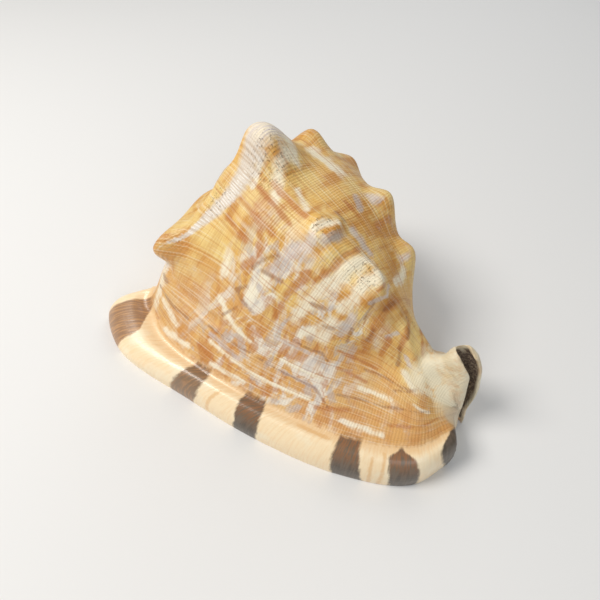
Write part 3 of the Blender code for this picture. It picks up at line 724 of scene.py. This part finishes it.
# The keel between the horns is bare and ribbed: its middle and half width in stations at growth rows
KEEL_ROWS = (5.0, 5.4, 6.0, 6.5, 7.0, 7.5, 8.0, 8.6)
KEEL_MIDDLE = (2.15, 2.25, 2.40, 2.50, 2.50, 2.35, 2.20, 2.10)
KEEL_HALF = (0.02, 0.10, 0.17, 0.20, 0.26, 0.34, 0.36, 0.25)

# Worn white tips of the horns, and the patches with dirt in their pits: station, growth row and radius
HORN_TIPS = [(2.2, 8.1, 17.0), (2.05, 4.75, 10.0)]
PITTED = [(2.75, 7.7, 11.0), (4.1, 7.5, 6.0), (4.95, 7.35, 8.0), (5.9, 7.9, 6.0), (2.4, 6.2, 7.0)]


def nearest(grids, points):
    """Distance to the nearest point of some grids, and which it is."""
    every = np.concatenate([grid.reshape(-1, 3) for grid in grids])
    tree = kdtree.KDTree(len(every))
    for index, point in enumerate(every.tolist()):
        tree.insert(point, index)
    tree.balance()
    found = [tree.find(point)[1:] for point in points.tolist()]
    return np.array([hit[1] for hit in found]), np.array([hit[0] for hit in found])


def growth_places(points):
    """Station and growth row of points on the whorl, finer than its grid, and their distance from it."""
    away, index = nearest([whorl_grid], points)
    rows = whorl_grid.shape[1]
    i = index // rows
    j = index % rows
    ahead = np.minimum(i + 1, len(grid_s) - 1)
    behind = np.maximum(i - 1, 0)
    centre = whorl_grid[i, j]
    along = (whorl_grid[ahead, j] - whorl_grid[behind, j]) / (ahead - behind)[:, None]
    across = (whorl_grid[i, (j + 1) % rows] - whorl_grid[i, (j - 1) % rows]) / 2
    off = points - centre
    u = np.einsum("ij,ij->i", off, along) / (np.einsum("ij,ij->i", along, along) + 1e-9)
    v = np.einsum("ij,ij->i", off, across) / (np.einsum("ij,ij->i", across, across) + 1e-9)
    s = np.interp(i + np.clip(u, -0.7, 0.7), np.arange(len(grid_s)), grid_s)
    t = np.interp(j + np.clip(v, -0.7, 0.7), np.arange(rows), grid_t)
    return s, t, away


def painted(strokes, s_mm, t_mm):
    """One at the middle of the nearest stroke, nothing at its edge and below nothing outside."""
    best = np.full(len(s_mm), -2.0)
    for wide, path in strokes:
        best = np.maximum(best, 1.0 - path_distance(path, s_mm, t_mm) / wide)
    return np.clip(best, -1.5, 1.0)


def between(edges, s, t):
    """Distance in millimetres inside two edges, below nothing outside."""
    left = np.interp(t, BAR_ROWS, edges[0])
    right = np.interp(t, BAR_ROWS, edges[1])
    scale = np.interp(s, grid_s[1:], np.diff(mm_of_s)) / (grid_s[1] - grid_s[0])
    return np.minimum(s - left, right - s) * scale


def give(obj, name, columns):
    """Store three numbers for each vertex."""
    layer = obj.data.attributes.new(name, "FLOAT_VECTOR", "POINT")
    layer.data.foreach_set("vector", np.column_stack(columns).astype(np.float32).ravel())


corner = np.empty(len(skin.data.vertices) * 3, np.float32)
skin.data.vertices.foreach_get("co", corner)
spots = corner.reshape(-1, 3) / MM + CENTRE
spot_s, spot_t, from_whorl = growth_places(spots)
spot_s_mm = np.interp(spot_s, grid_s, mm_of_s)
spot_t_mm = np.interp(spot_t, grid_t, mm_of_t)
shield_top = [part_grids["shield"][-1] + (np.array([*SHIELD_MIDDLE, 10.0]) - part_grids["shield"][-1]) * share
              for share in np.linspace(0.05, 0.9, 18)]
from_canal = nearest([part_grids["canal"]], spots)[0]
from_spire = nearest([part_grids["spire"], part_grids["varix"]], spots)[0]
from_shield = nearest([part_grids["shield"], np.array(shield_top)], spots)[0]
caps = [ring + (ring.mean(axis=0) - ring) * share
        for ring in (whorl_grid[0], whorl_grid[-1], part_grids["canal"][-1]) for share in np.linspace(0.03, 1.0, 24)]
from_caps = nearest(caps, spots)[0]
from_outside = np.min([from_whorl, from_canal, from_spire, from_shield, from_caps], axis=0)
in_trough = (spots[:, 0] > -26) & (spots[:, 2] > 3)
give(skin, "growth", [spot_s_mm, spot_t_mm, spot_s])
give(skin, "regions", [
    np.clip(0.5 + (from_whorl - from_canal) / 3.0, 0, 1),
    np.clip(0.5 + (from_whorl - from_spire) / 7.0, 0, 1),
    np.clip((from_outside - 1.1) / 0.9, 0, 1),
])
give(skin, "blotches", [painted(MARKS[colour], spot_s_mm, spot_t_mm) for colour in ("cream", "grey", "amber")])
brown_bar = np.max([between(edges, spot_s, spot_t) for name, *edges in BARS if name == "bar_brown"], axis=0)
dark_bar = np.max([between(edges, spot_s, spot_t) for name, *edges in BARS if name == "bar_dark"], axis=0)
give(skin, "bars", [np.clip(brown_bar, -9, 9), np.clip(dark_bar, -9, 9), painted(MARKS["umber"], spot_s_mm, spot_t_mm)])
keel_off = np.abs(spot_s - np.interp(spot_t, KEEL_ROWS, KEEL_MIDDLE)) / np.interp(spot_t, KEEL_ROWS, KEEL_HALF)
keel_end = np.interp(spot_t, (4.9, 5.3, 8.2, 8.9), (0.0, 1.0, 1.0, 0.0))
give(skin, "crest", [(1.2 - keel_off) * keel_end, in_trough * 1.0, spot_t])
shield_side = (from_shield < from_whorl - 0.2) | ((spot_t > 12.8) & (spots[:, 2] < 12))
horn_off = [np.hypot(spot_s_mm - np.interp(s, grid_s, mm_of_s), spot_t_mm - np.interp(t, grid_t, mm_of_t)) / wide
            for s, t, wide in HORN_TIPS]
pit_off = [np.hypot(spot_s_mm - np.interp(s, grid_s, mm_of_s), spot_t_mm - np.interp(t, grid_t, mm_of_t)) / wide
           for s, t, wide in PITTED]
give(skin, "places", [shield_side * 1.0, 1 - np.min(horn_off, axis=0), np.clip(1.5 - np.min(pit_off, axis=0), 0, 1)])

# The colour of the shell lies in the lime itself: ochre and cream flames in columns round the whorl, spiral
# blotches between fine growth lines, a glossy peach lip with brown bars, and a bare grey keel and canal
OCHRE = (225, 176, 92)
OCHRE_DEEP = (200, 140, 58)
STRAW = (238, 212, 140)
CREAM_MARK = (245, 235, 208)
GREY_MARK = (188, 178, 172)
MARBLE = (234, 229, 216)
TAN = (212, 156, 96)
LILAC = (218, 206, 200)
AMBER = (184, 112, 46)
UMBER = (134, 78, 36)
PEACH = (248, 224, 184)
PEACH_DEEP = (240, 200, 146)
STAIN = (226, 176, 112)
BAR_BROWN = (132, 84, 48)
BAR_TAN = (188, 134, 82)
BAR_SHADE = (84, 54, 30)
BAR_GREY = (96, 78, 62)
BAR_NIGHT = (40, 28, 22)
KEEL_GREY = (226, 216, 204)
KEEL_SHADE = (208, 192, 174)
HORN_WHITE = (246, 232, 204)
VALLEY = (230, 220, 192)
GRIT = (92, 76, 62)
GRIT_PALE = (158, 140, 118)
UNDER_CREAM = (246, 226, 194)
UNDER_ORANGE = (234, 182, 128)
WORN = (206, 188, 162)
DIRT = (104, 84, 62)
GAMMA_KNEE = 0.04045


class Term:
    """A socket of a shader node that takes part in Python sums."""

    def __init__(self, socket):
        self.socket = socket

    def __add__(self, other):
        return maths("ADD", self, other)

    def __radd__(self, other):
        return maths("ADD", other, self)

    def __sub__(self, other):
        return maths("SUBTRACT", self, other)

    def __rsub__(self, other):
        return maths("SUBTRACT", other, self)

    def __mul__(self, other):
        return maths("MULTIPLY", self, other)

    def __rmul__(self, other):
        return maths("MULTIPLY", other, self)


def node(kind, values=(), settings=(), out=0):
    """Add a node: its settings first, then a number, a colour or a link for each socket."""
    made = tree.nodes.new("ShaderNode" + kind)
    for name, value in dict(settings).items():
        setattr(made, name, value)
    for key, value in dict(values).items():
        if isinstance(value, Term):
            tree.links.new(value.socket, made.inputs[key])
        else:
            made.inputs[key].default_value = value
    return Term(made.outputs[out])


def maths(operation, first, second=0.0):
    return node("Math", {0: first, 1: second}, {"operation": operation})


def colour(code):
    """Linear colour from red, green and blue up to 255."""
    parts = np.array(code) / 255.0
    straight = np.where(parts < GAMMA_KNEE, parts / 12.92, ((parts + 0.055) / 1.055) ** 2.4)
    return (*straight.tolist(), 1.0)


def mix(share, first, second):
    """Second colour over the first one."""
    pair = {key: value if isinstance(value, Term) else colour(value) for key, value in ((6, first), (7, second))}
    return node("Mix", {0: share, **pair}, {"data_type": "RGBA"}, 2)


def rise(value, low, high):
    """Smooth step from nothing to one."""
    values = {"Value": value, "From Min": low, "From Max": high}
    return node("MapRange", values, {"interpolation_type": "SMOOTHSTEP"})


def noise(at, scale, detail=2.0, twist=0.0):
    """Cloudy value about one half."""
    return node("TexNoise", {"Vector": at, "Scale": scale, "Detail": detail, "Distortion": twist})


def stretched(along_s, along_t, shift=0.0):
    """Place on the unrolled whorl, squeezed by two factors."""
    return node("CombineXYZ", {0: s_mm * along_s, 1: t_mm * along_t, 2: shift})


def channels(name):
    """The three numbers of a vertex attribute."""
    vector = node("Attribute", settings={"attribute_name": name}, out=1)
    return [node("SeparateXYZ", {0: vector}, out=index) for index in range(3)]


def new_paint(name):
    """Material with its shader, and the tree that the functions above add to."""
    made = bpy.data.materials.new(name)
    made.use_nodes = True
    return made, made.node_tree, made.node_tree.nodes["Principled BSDF"]


def finish_paint(base, roughness, height, depth, coat=0.0):
    """Feed the shader with colour, gloss and bump height."""
    bump = node("Bump", {"Height": height, "Distance": depth, "Strength": 1.0})
    links = {"Base Color": base, "Roughness": roughness, "Normal": bump, "Coat Weight": coat}
    for key, value in links.items():
        if isinstance(value, Term):
            tree.links.new(value.socket, shader.inputs[key])
        else:
            shader.inputs[key].default_value = value
    shader.inputs["Coat Roughness"].default_value = 0.12


paint, tree, shader = new_paint("shell_paint")
s_mm, t_mm, station = channels("growth")
at_canal, at_spire, inner = channels("regions")
cream_mark, grey_mark, amber_mark = channels("blotches")
brown_bar, dark_bar, umber_mark = channels("bars")
crest, in_canal, row = channels("crest")
at_shield, horn, pitted = channels("places")
place = node("TexCoord", out=3)
ragged = noise(place, 420.0, 3.0) - 0.5
grain = noise(place, 1500.0, 2.0)
cloud = noise(place, 70.0, 3.0)
drift = noise(place, 190.0, 2.0)
column = noise(stretched(0.15, 0.028), 1.0, 4.0)
fine_column = noise(stretched(0.80, 0.05, 3.0), 1.0, 3.0)
growth_line = noise(stretched(0.022, 1.05, 7.0), 1.0, 2.0)
sharp_line = noise(stretched(0.012, 0.60, 11.0), 1.0, 1.0)
thread = maths("SINE", s_mm * 4.6 + (noise(stretched(0.05, 0.05), 1.0) - 0.5) * 9.0)
streaky = noise(stretched(1.1, 0.09, 5.0), 1.0, 4.0)
marble = noise(stretched(0.090, 0.050, 21.0), 1.0, 3.0, 0.9) + (growth_line - 0.5) * 0.08
vein = noise(stretched(0.115, 0.060, 33.0), 1.0, 3.0, 1.1) + (fine_column - 0.5) * 0.10

# Body: ochre and straw columns, marbled white and amber low on the face, then the blotches and fine lines
base = mix(rise(column, 0.42, 0.60), OCHRE, OCHRE_DEEP)
base = mix(rise(cloud + (fine_column - 0.5) * 0.4, 0.42, 0.64) * 0.7, base, STRAW)
base = mix((1 - rise(row + (cloud - 0.5) * 1.5, 4.5, 5.6)) * 0.6, base, TAN)
face = rise(station, 2.8, 3.6) * (1 - rise(station, 5.3, 6.1)) * (1 - rise(row, 6.2, 7.4))
base = mix(face * rise(marble, 0.48, 0.60) * 0.8, base, MARBLE)
base = mix(face * rise(vein, 0.53, 0.64) * 0.65, base, GREY_MARK)
base = mix(face * rise(vein, 0.47, 0.36) * 0.6, base, AMBER)
jag = ragged * 0.5 + (drift - 0.5) * 2.2 + (growth_line - 0.5) * 0.5 + (fine_column - 0.5) * 0.5
base = mix(rise(cream_mark + jag, -0.6, 0.8) * 0.85, base, CREAM_MARK)
base = mix(rise(grey_mark + jag, -0.5, 0.7) * 0.75, base, mix(rise(cloud, 0.4, 0.6), GREY_MARK, LILAC))
base = mix(rise(amber_mark + jag, -0.5, 0.8) * 0.75, base, AMBER)
base = mix(rise(umber_mark + jag, -0.6, 0.9) * 0.6, base, UMBER)
base = mix(rise(fine_column, 0.52, 0.66) * 0.35, base, OCHRE_DEEP)
base = mix(rise(growth_line, 0.54, 0.66) * 0.28, base, CREAM_MARK)
base = mix(rise(growth_line, 0.46, 0.34) * 0.35, base, AMBER)
base = mix(rise(sharp_line, 0.67, 0.74) * 0.28, base, CREAM_MARK)
base = mix(rise(sharp_line, 0.34, 0.27) * 0.45, base, AMBER)
neck = rise(station + (drift - 0.5) * 0.3, 6.4, 6.75) * rise(row, 4.9, 5.4)
base = mix(neck * rise(cloud + ragged * 0.6, 0.3, 0.55) * 0.85, base, VALLEY)

# Keel and horns: bare and worn, with dirt in their pits
bare = rise(crest + ragged * 0.6 + (drift - 0.5) * 0.8, -0.05, 0.7)
base = mix(bare * 0.9, base, mix(rise(growth_line, 0.40, 0.58), KEEL_SHADE, KEEL_GREY))
base = mix(rise(horn + ragged * 0.6, 0.2, 0.75) * 0.85, base, mix(rise(fine_column, 0.45, 0.6), HORN_WHITE, LILAC))
pit = rise(noise(place, 900.0, 1.0), 0.62, 0.70) * pitted
base = mix(pit * 0.38, base, DIRT)

# Lip: peach with fine streaks across it, stained near the crease, and barred
lip = 1 - rise(row + ragged * 0.25, 4.0, 4.2)
peach = mix(rise(streaky, 0.42, 0.66) * 0.35, PEACH, PEACH_DEEP)
peach = mix(rise(cloud, 0.48, 0.66) * 0.4, peach, CREAM_MARK)
peach = mix(rise(row + (streaky - 0.5) * 1.2, 2.9, 4.1) * 0.55, peach, STAIN)
peach = mix(rise(amber_mark + ragged, -0.1, 0.8) * 0.6, peach, STAIN)
peach = mix(rise(cream_mark + ragged, -0.1, 0.6) * 0.8, peach, CREAM_MARK)
wavy = ragged * 1.1 + (streaky - 0.5) * 1.6
brown = mix(rise(streaky, 0.44, 0.62) * 0.75, BAR_BROWN, BAR_TAN)
brown = mix(rise(station, 3.2, 3.4) * 0.75, brown, mix(rise(streaky, 0.45, 0.65), BAR_SHADE, BAR_BROWN))
peach = mix(rise(brown_bar + wavy, -0.7, 0.8) * 0.85, peach, brown)
low = maths("MAXIMUM", 1 - rise(row + (streaky - 0.5) * 2.0, 1.2, 2.6), rise(station, 7.3, 7.5))
dark = mix(rise(streaky, 0.42, 0.62), mix(low, BAR_BROWN, BAR_NIGHT), mix(low, BAR_GREY, (70, 58, 52)))
peach = mix(rise(dark_bar + wavy, -0.7, 0.7) * 0.93, peach, dark)
base = mix(lip, base, peach)

# Spire, shield, hollow and canal
base = mix(rise(at_spire + (cloud - 0.5) * 1.2 + ragged * 0.4, 0.3, 0.9) * rise(drift + ragged * 0.5, 0.25, 0.6), base, WORN)
callus = mix(rise(cloud + ragged * 0.2, 0.35, 0.75) * 0.8, UNDER_CREAM, UNDER_ORANGE)
base = mix(at_shield, base, callus)
base = mix(at_canal * 0.6, base, VALLEY)
hollow = mix(rise(cloud, 0.4, 0.6), UNDER_CREAM, UNDER_ORANGE)
base = mix(inner * (1 - in_canal), base, hollow)
gritty = mix(rise(grain + ragged * 0.6, 0.48, 0.66), GRIT, GRIT_PALE)
base = mix(inner * in_canal, base, gritty)

polished = lip * (1 - at_spire)
gloss = 0.42 - polished * 0.09 + bare * 0.2 + at_spire * 0.25 + inner * in_canal * 0.45 + (grain - 0.5) * 0.12
lines = growth_line * 0.30 + sharp_line * 0.18 + thread * 0.05 + ragged * 0.10
height = lines * (1 - polished * 0.75) + bare * growth_line * 0.1 - pit * 0.4 + streaky * polished * 0.08
finish_paint(base, gloss, height + inner * in_canal * grain * 0.5, 0.001, polished * 0.15)
skin.data.materials.clear()
skin.data.materials.append(paint)
skin.data.shade_smooth()
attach(skin, "root")
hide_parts("helmet_shell")

# Small lime ribs that cross the keel between the horns, one for each pause in growth, and the blunt teeth of
# the lip over the mouth. They grew out of the wall, so each is a slender drop half sunk in it
RIB_ROWS = (5.35, 7.2)
RIB_STEP = 1.25
RIB_SIZE = (4.0, 0.42, 0.26)
TOOTH_X = (-156.0, -24.0)
TOOTH_SIZE = (2.9, 1.9, 1.9)
TOOTH_IN = 8.6
TOOTH_UP = 4.0
RIB_WHITE = (236, 228, 216)
TOOTH_WHITE = (250, 236, 212)


def drop_tree(name, slices, rings):
    """Node group that sets a stretched ball on every point, turned and sized by its attributes."""
    group = bpy.data.node_groups.new(name, "GeometryNodeTree")
    group.is_modifier = True
    group.interface.new_socket("Geometry", in_out="INPUT", socket_type="NodeSocketGeometry")
    group.interface.new_socket("Girth", in_out="INPUT", socket_type="NodeSocketFloat")
    group.interface.new_socket("Paint", in_out="INPUT", socket_type="NodeSocketMaterial")
    group.interface.new_socket("Geometry", in_out="OUTPUT", socket_type="NodeSocketGeometry")
    start = group.nodes.new("NodeGroupInput")
    ball = group.nodes.new("GeometryNodeMeshUVSphere")
    ball.inputs["Segments"].default_value = slices
    ball.inputs["Rings"].default_value = rings
    place_drops = group.nodes.new("GeometryNodeInstanceOnPoints")
    for attribute, socket in (("turn", "Rotation"), ("size", "Scale")):
        read = group.nodes.new("GeometryNodeInputNamedAttribute")
        read.data_type = "FLOAT_VECTOR"
        read.inputs["Name"].default_value = attribute
        group.links.new(read.outputs["Attribute"], place_drops.inputs[socket])
    real = group.nodes.new("GeometryNodeRealizeInstances")
    coat = group.nodes.new("GeometryNodeSetMaterial")
    end = group.nodes.new("NodeGroupOutput")
    group.links.new(start.outputs["Geometry"], place_drops.inputs["Points"])
    group.links.new(start.outputs["Girth"], ball.inputs["Radius"])
    group.links.new(ball.outputs["Mesh"], place_drops.inputs["Instance"])
    group.links.new(place_drops.outputs["Instances"], real.inputs["Geometry"])
    group.links.new(real.outputs["Geometry"], coat.inputs["Geometry"])
    group.links.new(start.outputs["Paint"], coat.inputs["Material"])
    group.links.new(coat.outputs["Geometry"], end.inputs["Geometry"])
    return group


def set_drops(name, group, middles, frames, sizes, material):
    """Plain mesh of drops at points, each with its length, width and height along its own axes."""
    mesh = bpy.data.meshes.new(name)
    mesh.from_pydata(placed(middles).tolist(), [], [])
    obj = bpy.data.objects.new(name, mesh)
    bpy.context.scene.collection.objects.link(obj)
    turns = [Matrix(axes.T.tolist()).to_euler() for axes in frames]
    give(obj, "turn", np.array(turns).T)
    give(obj, "size", np.array(sizes).T)
    grow = obj.modifiers.new("drops", "NODES")
    grow.node_group = group
    sockets = {item.name: item.identifier for item in group.interface.items_tree if item.in_out == "INPUT"}
    grow[sockets["Girth"]] = MM
    grow[sockets["Paint"]] = material
    finished(obj)
    obj.data.shade_smooth()
    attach(obj, "root")
    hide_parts("helmet_shell")


def axes_of(along, normal):
    """Three axes at right angles, as rows: along, across and out."""
    out = normal / np.linalg.norm(normal)
    first = along - out * (along @ out)
    first = first / np.linalg.norm(first)
    return np.array([first, np.cross(out, first), out])


drops = drop_tree("lime drops", 14, 8)
paint_ribs, tree, shader = new_paint("rib_lime")
place = node("TexCoord", out=3)
grime = rise(noise(place, 520.0, 3.0), 0.5, 0.7)
finish_paint(mix(grime * 0.35, RIB_WHITE, KEEL_SHADE), 0.55 + grime * 0.15, noise(place, 1600.0), 0.0002)
first_mm, last_mm = np.interp(RIB_ROWS, grid_t, mm_of_t)
middles = []
frames = []
sizes = []
wobble = np.random.default_rng(7)
for mm in np.arange(first_mm, last_mm, RIB_STEP):
    t = np.interp(mm, mm_of_t, grid_t)
    s = np.interp(t, KEEL_ROWS, KEEL_MIDDLE) + wobble.normal(0.0, 0.02)
    i = int(round(np.interp(s, grid_s, np.arange(len(grid_s)))))
    j = int(round(t * len(grid_t) / len(body_rows())))
    middles.append(whorl_grid[i, j] - 0.1 * whorl_normal[i, j])
    frames.append(axes_of(whorl_grid[i + 6, j] - whorl_grid[i - 6, j], whorl_normal[i, j]))
    share = np.interp(t, (5.35, 6.0, 6.8, 7.2), (0.5, 1.0, 1.0, 0.5)) * wobble.uniform(0.7, 1.1)
    sizes.append((RIB_SIZE[0] * share, RIB_SIZE[1] * wobble.uniform(0.8, 1.2), RIB_SIZE[2]))
set_drops("keel_ribs", drops, middles, frames, sizes, paint_ribs)

paint_teeth, tree, shader = new_paint("tooth_enamel")
place = node("TexCoord", out=3)
tint = rise(noise(place, 160.0, 3.0), 0.45, 0.7)
finish_paint(mix(tint * 0.5, TOOTH_WHITE, UNDER_ORANGE), 0.25 + tint * 0.1, noise(place, 900.0), 0.0002, 0.5)
middles = []
frames = []
sizes = []
for number in range(math.ceil(TOOTH_X[0] / TEETH_PITCH - 0.5), math.floor(TOOTH_X[1] / TEETH_PITCH - 0.5) + 1):
    x = (number + 0.5) * TEETH_PITCH
    y = np.interp(x, MOUTH_X, MOUTH_Y)
    for side, share in ((-1, 1.0), (1, 0.6)):
        middles.append((x, y + side * TOOTH_IN, TOOTH_UP))
        frames.append(axes_of(np.array([0.0, side, -0.12]), np.array([0.0, 0.0, -1.0])))
        sizes.append(tuple(share * part for part in TOOTH_SIZE))
set_drops("lip_teeth", drops, middles, frames, sizes, paint_teeth)
